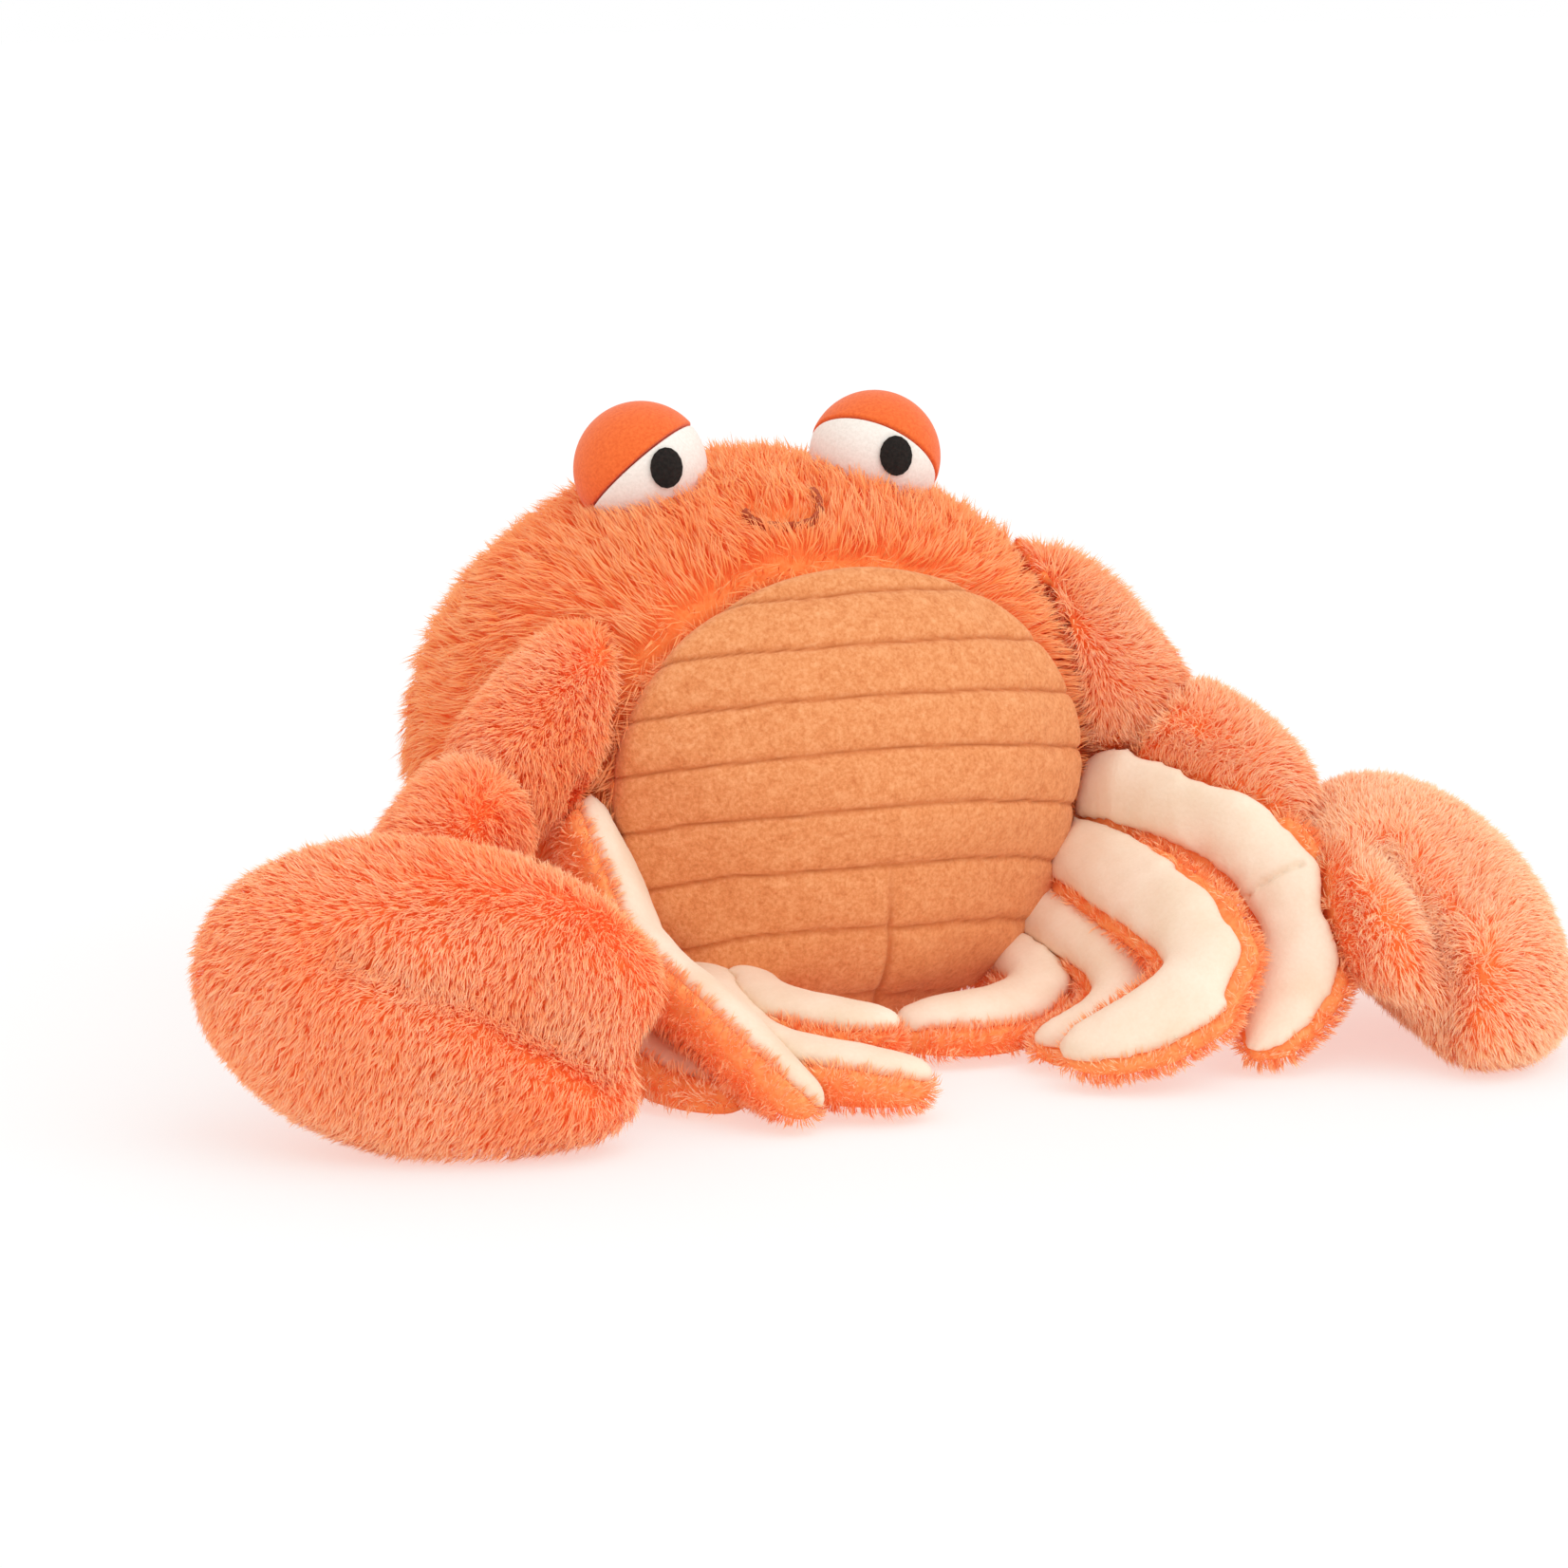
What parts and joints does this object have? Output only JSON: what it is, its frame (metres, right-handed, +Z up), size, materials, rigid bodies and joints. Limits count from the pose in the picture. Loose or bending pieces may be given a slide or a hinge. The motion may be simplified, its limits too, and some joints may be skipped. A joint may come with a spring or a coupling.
{
  "type": "plush crab",
  "caption": "Plush crab toy that sits up: shaggy orange fur body, banded apricot belly, stuffed eyes with lids, mitten claws and flat cream-faced legs",
  "frame": {"origin": "middle of the body's flat underside, on the surface that the crab sits on", "axes": "+X towards the crab's left, -Y the way the crab faces, +Z up"},
  "size_m": [0.392, 0.2575, 0.1753],
  "materials": {
    "body_fur": "long shaggy pile fur, deep coral orange with paler tips",
    "limb_fur": "medium pile fur, coral orange",
    "claw_fur": "medium pile fur, light coral orange",
    "leg_fur": "short pile fur, coral orange",
    "belly_plush": "short dense plush with corded bands, apricot",
    "cream_suede": "smooth soft suede-like knit, cream",
    "eye_felt": "smooth woven cotton, off-white",
    "eyelid_suede": "smooth soft suede-like knit, bright orange",
    "pupil_felt": "felt, black",
    "mouth_thread": "stitched thread, dark red-brown"
  },
  "bodies": {
    "root": {"body": "body_fur", "belly_panel": "belly_plush", "mouth_stitch": "mouth_thread", "eye_white_left": "eye_felt", "eyelid_left": "eyelid_suede", "pupil_left": "pupil_felt", "upper_arm_left": "limb_fur", "forearm_left": "limb_fur", "claw_left": "claw_fur", "leg_left_1_back": "leg_fur", "leg_left_1_front": "cream_suede", "leg_left_2_back": "leg_fur", "leg_left_2_front": "cream_suede", "leg_left_3_back": "leg_fur", "leg_left_3_front": "cream_suede", "leg_left_4_back": "leg_fur", "leg_left_4_front": "cream_suede", "eye_white_right": "eye_felt", "eyelid_right": "eyelid_suede", "pupil_right": "pupil_felt", "upper_arm_right": "limb_fur", "forearm_right": "limb_fur", "claw_right": "claw_fur", "leg_right_1_back": "leg_fur", "leg_right_1_front": "cream_suede", "leg_right_2_back": "leg_fur", "leg_right_2_front": "cream_suede", "leg_right_3_back": "leg_fur", "leg_right_3_front": "cream_suede", "leg_right_4_back": "leg_fur", "leg_right_4_front": "cream_suede"}
  },
  "joints": []
}
